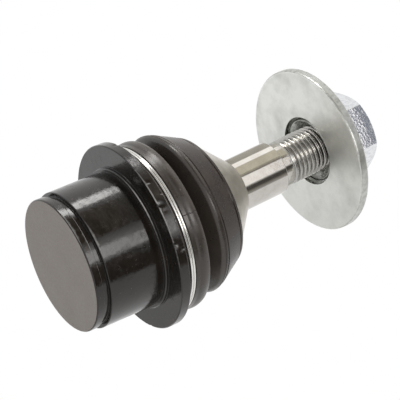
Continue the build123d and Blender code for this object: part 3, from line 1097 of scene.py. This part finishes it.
@dataclass
class Stud(SubAssembly):
    """One forging: ball, neck, shoulder, ground shank, relief and rolled thread, with a key socket."""

    ball_radius: float = 13.5
    ball_steps: int = 60
    ball_stop: float = 0.14
    flat_radius: float = 4.0
    neck_radius: float = 7.5
    neck_top: float = 17.0
    shoulder_radius: float = 9.5
    shoulder_height: float = 25.0
    shank_radius: float = 8.0
    shank_end: float = 54.2
    shank_chamfer: float = 0.35
    relief_radius: float = 6.8
    relief_end: float = 57.4
    run_in: float = 1.6
    end: float = 84.2
    socket_flats: float = 6.0
    socket_depth: float = 6.0
    socket_bevel: float = 0.5
    socket_mouth: float = 0.55
    segments: int = 180
    rows_each: int = 20
    thread: MetricThread = field(default_factory=MetricThread)

    def outline(self) -> list[Point2]:
        """Draw the half outline from the foot of the ball to the start of the thread.

        Returns:
            (radius, height) points.
        """
        start = math.asin(self.flat_radius / self.ball_radius)
        stop = math.pi - math.asin(self.neck_radius / self.ball_radius) - self.ball_stop
        tilts = [start + (stop - start) * step / self.ball_steps for step in range(self.ball_steps + 1)]
        ball = [(self.ball_radius * math.sin(tilt), -self.ball_radius * math.cos(tilt)) for tilt in tilts]
        root = math.sqrt(self.ball_radius**2 - self.neck_radius**2)
        stem = rounded(
            [
                ball[-1],
                (self.neck_radius, root + 1.0, 1.6),
                (self.neck_radius, self.neck_top, 4.0),
                (self.shoulder_radius, self.shoulder_height - 2, 2.0),
                (self.shoulder_radius, self.shoulder_height),
                (self.shank_radius, self.shoulder_height),
                (self.shank_radius, self.shank_end, 0.25),
                (self.relief_radius, self.shank_end + self.shank_chamfer, 0.15),
                (self.relief_radius, self.relief_end),
            ],
            closed=False,
        )
        return [(0.0, ball[0][1])] + ball + divided(stem[1:], longest=1.5, closed=False)

    def build(self) -> None:
        """Turn the forging, cut its thread and key socket, dress each length by how it was worked, and paint shade as a
        dark ring in the undercut behind the shank.
        """
        angles = headings(self.segments)
        mesh = bmesh.new()
        skin(mesh, [circle(angles, radius, height) for radius, height in self.outline()])
        turns = (self.end - self.relief_end) / self.thread.pitch + 1
        helix = []
        for row in range(int(turns * self.rows_each) + 2):
            ring = []
            for angle in angles:
                climb = self.thread.pitch * (row / self.rows_each + angle / math.tau - 1)
                height = max(self.relief_end, min(self.relief_end + climb, self.end))
                ring.append(polar(self.threaded(angle, height), angle, height))
            helix.append(ring)
        skin(mesh, helix, lead=self.rows_each)
        face = circle(angles, self.threaded(0.0, self.end), self.end)
        skin(mesh, [face, *self.socket(angles)])
        forging = finished("stud_forging", mesh, sharp=55.0)
        dress(forging, self.palette.ground)
        dress_face(forging, self.palette.thread, lambda centre: centre.z > self.relief_end - 0.1)
        # Painted shade: the undercut behind the shank's end takes the darker bore steel, as a dark ring in the recess.
        dress_face(forging, self.palette.bore, lambda centre: self.shank_end + 0.1 < centre.z < self.shank_end + 1.0)
        forging.matrix_world = LEAN
        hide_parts("ball_stud")
        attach(forging, "stud")
        LOG.info("stud: stud_forging")

    def threaded(self, angle: float, height: float) -> float:
        """Follow the threaded length, with its run-in from the relief and the chamfer at its end.

        Args:
            angle: in radians.
            height: along the axis.

        Returns:
            The radius there.
        """
        lead = smooth_share(height, self.relief_end, self.relief_end + self.run_in)
        cut = self.thread.radius(angle, height)
        chamfer = self.thread.crest - self.thread.depth + (self.end - height)
        return min(cut * lead + self.relief_radius * (1 - lead), chamfer)

    def socket(self, angles: Sequence[float]) -> list[list[Vector]]:
        """Step from the end face into the hexagonal key socket.

        Args:
            angles: in radians.

        Returns:
            The socket's rings.
        """
        floor = self.end - self.socket_depth
        rings = []
        for height, widen in ((self.end, self.socket_mouth), (self.end - self.socket_bevel, 0.0), (floor, 0.0)):
            ring = []
            for angle in angles:
                offset = (angle + SIXTH / 2) % SIXTH - SIXTH / 2
                ring.append(polar(self.socket_flats / 2 / math.cos(offset) + widen, angle, height))
            rings.append(ring)
        return [*rings, [Vector((0, 0, floor))] * len(angles)]


@dataclass
class SeatCone(SubAssembly):
    """45 degree cone on the shank, turned, with a land at its rim."""

    bore: float = 8.02
    hub_radius: float = 12.0
    hub_base: float = 25.0
    back: float = 27.1
    rim_radius: float = 19.2
    rim_land: float = 1.4
    tip: float = 39.3
    tip_radius: float = 8.4

    def build(self) -> None:
        """Turn the cone and let it ride on the stud."""
        corners = [
            (self.bore, self.hub_base),
            (self.hub_radius, self.hub_base, 0.2),
            (self.hub_radius, self.back, 0.1),
            (self.rim_radius, self.back, 0.3),
            (self.rim_radius, self.back + self.rim_land, 0.15),
            (self.tip_radius, self.tip, 0.12),
            (self.bore, self.tip),
        ]
        cone = turned("turned_cone", divided(rounded(corners), longest=0.8), segments=240)
        dress(cone, self.palette.cone)
        cone.matrix_world = LEAN
        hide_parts("seat_cone")
        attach(cone, "stud")
        LOG.info("seat cone: turned_cone")


@dataclass
class Washer(SubAssembly):
    """The big captive washer, which lies a little askew on the nut's spigot."""

    radius: float = 25.0
    thickness: float = 2.8
    front: float = 67.4
    hole_radius: float = 10.55
    counterbore: float = 1.6
    bore_radius: float = 10.0
    edge: float = 0.6
    cock: float = 3.7
    heading: float = -99.7
    ragged: float = 0.03
    ragged_reach: float = 1.2
    sheared_band: float = 0.35
    bore_band: float = 0.08

    def shaped(self, point: Vector) -> Vector:
        """Move a point by the blanked rim's unevenness.

        Args:
            point: on the smooth washer.

        Returns:
            Where it goes.
        """
        radius = math.hypot(point.x, point.y)
        rim = smooth_share(radius, self.radius - self.ragged_reach, self.radius)
        inward = Vector((point.x, point.y, 0)).normalized()
        coarse = drift(point, size=1.3, amount=self.ragged, seed=5.0)
        fine = drift(point, size=0.6, amount=0.02, seed=9.0)
        return point - inward * rim * (self.ragged + coarse + fine)

    def build(self) -> None:
        """Stamp the washer, tip it to where it lies, and let it ride on its own body."""
        corners = [
            (self.bore_radius, self.thickness, 0.15),
            (self.bore_radius, self.counterbore, 0.1),
            (self.hole_radius, self.counterbore, 0.05),
            (self.hole_radius, 0.0, 0.2),
            (self.radius, 0.0, self.edge),
            (self.radius, self.thickness, self.edge),
        ]
        disc = turned("stamped_washer", divided(rounded(corners), longest=0.5), segments=420, shape=self.shaped)
        edge, hole = self.radius - self.sheared_band, self.hole_radius + self.bore_band
        dress(disc, self.palette.washer)
        dress_face(disc, self.palette.sheared, lambda centre: math.hypot(centre.x, centre.y) > edge)
        dress_face(disc, self.palette.bore, lambda centre: math.hypot(centre.x, centre.y) < hole and centre.z > 0.05)
        heading = math.radians(self.heading)
        hinge = Vector((-math.sin(heading), math.cos(heading), 0))
        askew = Matrix.Rotation(math.radians(self.cock), 4, hinge)
        disc.matrix_world = LEAN @ Matrix.Translation((0, 0, self.front * MM)) @ askew
        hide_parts("captive_washer")
        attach(disc, "washer")
        LOG.info("washer: stamped_washer")


@dataclass
class Nut(SubAssembly):
    """Hexagon nut with a round bearing face, a flared spigot and the stud's thread inside."""

    flats: float = 22.0
    base: float = 71.0
    height: float = 14.4
    face_radius: float = 10.6
    face_height: float = 0.5
    top_radius: float = 10.2
    chamfer: float = 30.0
    side_shares: tuple[float, ...] = (0.25, 0.5, 0.75, 0.97)
    chamfer_shares: tuple[float, ...] = (0.35, 0.7)
    rows_each: int = 12
    corner_heading: float = 89.3
    corner_drop: float = 0.0775
    spigot_radius: float = 9.55
    flare_radius: float = 9.95
    flare: Point3 = (0.5, 0.8, 0.9)
    lip_radius: float = 9.65
    spigot_end: float = 68.4
    sink_radius: float = 9.25
    sink_depth: float = 2.6
    bevel: float = 0.12
    edge_break: float = 0.06
    countersink: float = 0.75
    mouth_flat: float = 0.3
    thread_start: float = 0.7
    clearance: float = 0.06
    segments: int = 288
    thread: MetricThread = field(default_factory=MetricThread)

    def hexagon(self, angle: float) -> float:
        """Follow the hexagon, with its corners slightly rounded.

        Args:
            angle: in radians.

        Returns:
            The radius there.
        """
        turn = angle - math.radians(self.corner_heading) + SIXTH / 2
        offset = (turn + SIXTH / 2) % SIXTH - SIXTH / 2
        flat = self.flats / 2 / math.cos(offset)
        away = SIXTH / 2 - abs(offset)
        corner = self.flats / 2 / math.cos(SIXTH / 2)
        soft = corner - self.corner_drop - away * away * corner * 0.5
        return min(flat, max(soft, self.flats / 2))

    def hex_ring(self, angles: Sequence[float], inset: float, level: float | None = None) -> list[Vector]:
        """Ring of the hexagon.

        Args:
            angles: in radians.
            inset: how far it lies inside the flats.
            level: its height, or None to follow the chamfer on the corners.

        Returns:
            The ring's points.
        """
        ring = []
        for angle in angles:
            reach = self.hexagon(angle) - inset
            fall = max(0.0, reach - self.top_radius) * math.tan(math.radians(self.chamfer))
            ring.append(polar(reach, angle, self.base + self.height - fall if level is None else level))
        return ring

    def foot(self) -> list[Point2]:
        """Draw the spigot and the round bearing face, from the sink's edge outwards.

        Returns:
            (radius, height) points.
        """
        end, bevel = self.spigot_end, self.bevel
        widest, still_wide, narrow = (end + rise for rise in self.flare)
        return [
            (self.sink_radius, end),
            (self.lip_radius - bevel, end),
            (self.lip_radius, end + bevel),
            (self.flare_radius, widest),
            (self.flare_radius, still_wide),
            (self.spigot_radius, narrow),
            (self.spigot_radius, self.base),
            (self.face_radius - 0.1, self.base),
            (self.face_radius, self.base + 0.1),
            (self.face_radius, self.base + self.face_height),
        ]

    def tapped(self, angles: Sequence[float]) -> list[list[Vector]]:
        """Thread the bore, from the top down to the sink.

        Args:
            angles: in radians.

        Returns:
            The bore's rings.
        """
        start, end = self.base + self.height - self.thread_start, self.spigot_end + self.sink_depth
        rows = int(self.height / self.thread.pitch * self.rows_each)
        rings = []
        for row in range(rows + 1):
            level = start - (start - end) * row / rows
            rings.append([polar(self.thread.radius(angle, level) + self.clearance, angle, level) for angle in angles])
        return rings

    def hidden(self, centre: Vector) -> bool:
        """Whether a face is inside the bore or on the spigot, where the plating is thin and dark."""
        inside = math.hypot(centre.x, centre.y) < self.sink_radius - 0.1
        return (inside and centre.z < self.base + self.height - 0.2) or centre.z < self.base - 0.3

    def build(self) -> None:
        """Forge the hexagon, thread its bore, and let it ride on its own body."""
        angles = headings(self.segments)
        top, shoulder = self.base + self.height, self.base + self.face_height
        rings = [circle(angles, radius, height) for radius, height in self.foot()]
        rings.append(self.hex_ring(angles, self.bevel, shoulder))
        lower, upper = self.hex_ring(angles, 0.0, shoulder + self.bevel), self.hex_ring(angles, 0.0)
        rings.append(lower)
        for share in self.side_shares:
            rings.append([low.lerp(high, share) for low, high in zip(lower, upper)])
        rings.append(self.hex_ring(angles, self.edge_break))
        for share in self.chamfer_shares:
            rings.append([
                edge.lerp(Vector((edge.x, edge.y, 0)).normalized() * self.top_radius + Vector((0, 0, top)), share)
                for edge in upper
            ])
        mouth = self.thread.crest + self.clearance + self.countersink
        rings += [circle(angles, radius, top) for radius in (self.top_radius, self.top_radius - self.mouth_flat, mouth)]
        rings += self.tapped(angles)
        forging = loft("hexagon_nut", rings, sharp=24.0)
        dress(forging, self.palette.nut)
        dress_face(forging, self.palette.bore, self.hidden)
        forging.matrix_world = LEAN
        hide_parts("hex_nut")
        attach(forging, "nut")
        LOG.info("nut: hexagon_nut")


# ---------------------------------------------------------------- stage, light and camera


@dataclass(frozen=True)
class Viewpoint:
    """Where the camera stands and how it is turned, with its lens."""

    place: Point3 = (-269.451, 518.431, -248.895)
    right: Point3 = (-0.52590, 0.17003, 0.83338)
    up: Point3 = (0.73987, 0.57477, 0.34962)
    forward: Point3 = (0.41955, -0.80046, 0.42807)
    focal_pixels: float = 2237.7
    image_pixels: float = 400.0
    sensor: float = 36.0
    clip: Point2 = (0.01, 20.0)

    def build(self) -> None:
        """Make the camera and set it as the scene's."""
        data = bpy.data.cameras.new("camera")
        data.sensor_width = self.sensor
        data.lens = self.focal_pixels / self.image_pixels * self.sensor
        data.clip_start, data.clip_end = self.clip
        camera = bpy.data.objects.new("camera", data)
        turn = Matrix((self.right, self.up, [-part for part in self.forward])).transposed()
        camera.matrix_world = Matrix.Translation(Vector(self.place) * MM) @ turn.to_4x4()
        bpy.context.scene.collection.objects.link(camera)
        bpy.context.scene.camera = camera
        LOG.info("camera")


@dataclass(frozen=True)
class Card:
    """A long reflector parallel to the stud's axis, seen only in reflections.

    It runs from start to end, in degrees about that axis, and from low to high along it, in millimetres from
    the ball's centre.
    """

    name: str
    start: float
    end: float
    level: Point3
    low: float = -60.0
    high: float = 560.0


@dataclass(frozen=True)
class Softbox:
    """A square lamp that faces the object, with distance and side in millimetres and power in watts."""

    name: str
    direction: Point3
    distance: float
    side: float
    power: float


def sheet(
    name: str, finish: str, corners: Sequence[Sequence[float]], faces: Sequence[Sequence[int]]
) -> tuple[Piece, Recipe]:
    """Make a thin sheet for the stage.

    Args:
        name: the sheet's name.
        finish: its material's name.
        corners: its points in metres.
        faces: the places of each face's points.

    Returns:
        The sheet, linked to the scene, and the recipe of its still empty material.
    """
    data = bpy.data.meshes.new(name)
    data.from_pydata(corners, [], faces)
    board = bpy.data.objects.new(name, data)
    bpy.context.scene.collection.objects.link(board)
    material = bpy.data.materials.new(finish)
    data.materials.append(material)
    return board, Recipe(material)


@dataclass(frozen=True)
class Studio:
    """Floor, world, lamps and the reflectors that draw the bands on the bright steel."""

    toward: Point3 = (-0.44332591, 0.89605933, 0.02323373)
    upward: Point3 = (0.89483132, 0.44393431, -0.04689612)
    floor_height: float = -20.06
    floor_half: float = 900.0
    floor_colour: str = "efeeec"
    ambient: float = 0.55
    aim_height: float = 30.0
    card_distance: float = 420.0
    card_steps: int = 6
    lamps: tuple[Softbox, ...] = (
        Softbox("key_softbox", (0.55, 0.55, 0.62), 700.0, 420.0, 9.0),
        Softbox("fill_softbox", (-0.75, 0.25, -0.15), 800.0, 500.0, 3.0),
    )
    cards: tuple[Card, ...] = (
        Card("lamp_over_barrel", 74.0, 89.0, (10.0, 9.9, 9.7), low=-60.0, high=200.0),
        Card("dark_over_barrel", 16.0, 66.0, (0.12, 0.105, 0.085), low=-60.0, high=172.0),
        Card("dark_over_boot", 14.0, 64.0, (0.62, 0.59, 0.54), low=172.0, high=234.0),
        Card("dim_lamp_before_barrel", 1.5, 10.0, (1.6, 1.56, 1.52), low=-60.0, high=168.0),
        Card("lamp_before_barrel", -17.0, 1.5, (5.0, 4.9, 4.8), low=-60.0, high=168.0),
        Card("dim_lamp_before_rim", -32.0, 6.0, (1.9, 1.86, 1.82), low=168.0, high=234.0),
        Card("dark_under_barrel", -56.0, -21.0, (0.12, 0.11, 0.10), low=-60.0, high=172.0),
        Card("dark_under_boot", -56.0, -24.0, (0.35, 0.33, 0.30), low=172.0, high=234.0),
        Card("khaki_beyond_shank", 96.0, 152.0, (0.60, 0.58, 0.52), low=234.0, high=288.0),
        Card("white_over_shank", 71.0, 95.0, (1.7, 1.68, 1.65), low=234.0, high=288.0),
        Card("white_over_thread", 71.0, 95.0, (1.1, 1.09, 1.07), low=288.0, high=306.0),
        Card("umber_over_shank", 25.0, 32.0, (0.54, 0.51, 0.43), low=234.0, high=306.0),
        Card("khaki_over_shank", 32.0, 70.0, (0.84, 0.80, 0.66), low=234.0, high=306.0),
        Card("brown_over_shank", 19.5, 25.0, (0.34, 0.32, 0.28), low=234.0, high=306.0),
        Card("white_before_shank", -20.0, 18.5, (1.5, 1.47, 1.45), low=234.0, high=279.0),
        Card("dark_before_undercut", -20.0, 34.0, (0.16, 0.155, 0.15), low=279.0, high=281.5),
        Card("white_before_thread", -20.0, 18.5, (1.35, 1.32, 1.30), low=281.5, high=304.0),
        Card("dark_before_nut", -18.0, 18.0, (0.24, 0.25, 0.29), low=304.0),
        Card("dusk_under_shank", -27.0, -23.0, (0.36, 0.35, 0.33), low=234.0),
        Card("dark_under_shank", -42.0, -27.0, (0.10, 0.095, 0.09), low=234.0),
        Card("dim_under_shank", -46.0, -42.0, (0.19, 0.18, 0.16), low=234.0),
        Card("soft_under_shank", -51.0, -46.0, (0.32, 0.31, 0.28), low=234.0),
        Card("grey_under_shank", -58.0, -51.0, (0.45, 0.44, 0.42), low=234.0),
        Card("dim_below_washer", 178.0, 235.0, (0.62, 0.62, 0.60), low=-420.0, high=-60.0),
    )

    def build(self) -> None:
        """Lay the floor, set the world, hang the lamps and stand the reflectors round the object."""
        self.lay_floor()
        self.set_world()
        for lamp in self.lamps:
            self.hang_lamp(lamp)
        for card in self.cards:
            self.stand_card(card)
        LOG.info("stage, world and %d reflectors", len(self.cards))

    def lay_floor(self) -> None:
        """Plain pale floor that shows from above and lets light and the view from below through."""
        half, height = self.floor_half * MM, self.floor_height * MM
        corners = [(-half, -half, height), (half, -half, height), (half, half, height), (-half, half, height)]
        floor, recipe = sheet("floor", "pale_matte_floor", corners, [(0, 1, 2, 3)])
        path = recipe.add("LightPath")
        side = recipe.add("NewGeometry")
        front = recipe.add("Math", {0: 1.0, 1: side.outputs["Backfacing"]}, operation="SUBTRACT")
        shown = recipe.add("Math", {0: path.outputs["Is Camera Ray"], 1: front}, operation="MULTIPLY")
        matte = recipe.add("BsdfDiffuse", {"Color": self.floor_colour})
        clear = recipe.add("BsdfTransparent")
        mixed = recipe.add("MixShader", {0: shown, 1: clear, 2: matte})
        recipe.add("OutputMaterial", {"Surface": mixed})

    def set_world(self) -> None:
        """White backdrop for the camera, reflections and clear things; a plain grey level for the light."""
        world = bpy.data.worlds.new("studio")
        bpy.context.scene.world = world
        recipe = Recipe(world)
        path = recipe.add("LightPath")
        camera, glossy, clear = (path.outputs[f"Is {kind} Ray"] for kind in ("Camera", "Glossy", "Transmission"))
        seen = recipe.add("Math", {0: camera, 1: glossy}, operation="MAXIMUM")
        shown = recipe.add("Math", {0: seen, 1: clear}, operation="MAXIMUM")
        white = (1.0, 1.0, 1.0, 1.0)
        light = recipe.add("Background", {"Color": white, "Strength": self.ambient})
        backdrop = recipe.add("Background", {"Color": white, "Strength": 1.0})
        mixed = recipe.add("MixShader", {0: shown, 1: light, 2: backdrop})
        recipe.add("OutputWorld", {"Surface": mixed})

    def hang_lamp(self, softbox: Softbox) -> None:
        """Hang one softbox that faces the object and isn't seen itself.

        Args:
            softbox: its place, size and power.
        """
        data = bpy.data.lights.new(softbox.name, "AREA")
        data.size = softbox.side * MM
        data.energy = softbox.power
        lamp = bpy.data.objects.new(softbox.name, data)
        aim = Vector(softbox.direction).normalized()
        place = Matrix.Translation(aim * softbox.distance * MM + Vector((0, 0, self.aim_height * MM)))
        lamp.matrix_world = place @ aim.to_track_quat("Z", "Y").to_matrix().to_4x4()
        lamp.visible_camera = False
        lamp.visible_glossy = False
        bpy.context.scene.collection.objects.link(lamp)

    def stand_card(self, card: Card) -> None:
        """Stand one reflector, curved about the stud's axis.

        Args:
            card: its place, size and brightness.
        """
        lean = math.radians(STUD_LEAN)
        axis = Vector((math.sin(lean), 0, math.cos(lean)))
        toward, upward = Vector(self.toward), Vector(self.upward)
        corners, faces = [], []
        for step in range(self.card_steps + 1):
            angle = math.radians(card.start + (card.end - card.start) * step / self.card_steps)
            out = (toward * math.cos(angle) + upward * math.sin(angle)) * self.card_distance
            corners += [(out + axis * card.low) * MM, (out + axis * card.high) * MM]
            if step:
                last = 2 * step
                faces.append((last - 2, last - 1, last + 1, last))
        board, recipe = sheet(card.name, card.name, corners, faces)
        glow = recipe.add("Emission", {"Color": (*card.level, 1.0), "Strength": 1.0})
        recipe.add("OutputMaterial", {"Surface": glow})
        board.visible_camera = False
        board.visible_diffuse = False
        board.visible_shadow = False
        board.visible_transmission = False


def main() -> None:
    """Load the frame, build each sub-assembly in order, and set the stage."""
    logging.basicConfig(level=logging.INFO, format="%(name)s: %(message)s")
    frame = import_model()
    bpy.context.scene.view_settings.view_transform = "Standard"
    Viewpoint().build()
    palette = Palette()
    for assembly in (Housing, Boot, WireRing, Stud, SeatCone, Washer, Nut):
        assembly(palette, frame["nodes"]).build()
    Studio().build()


if __name__ == "__main__":
    main()
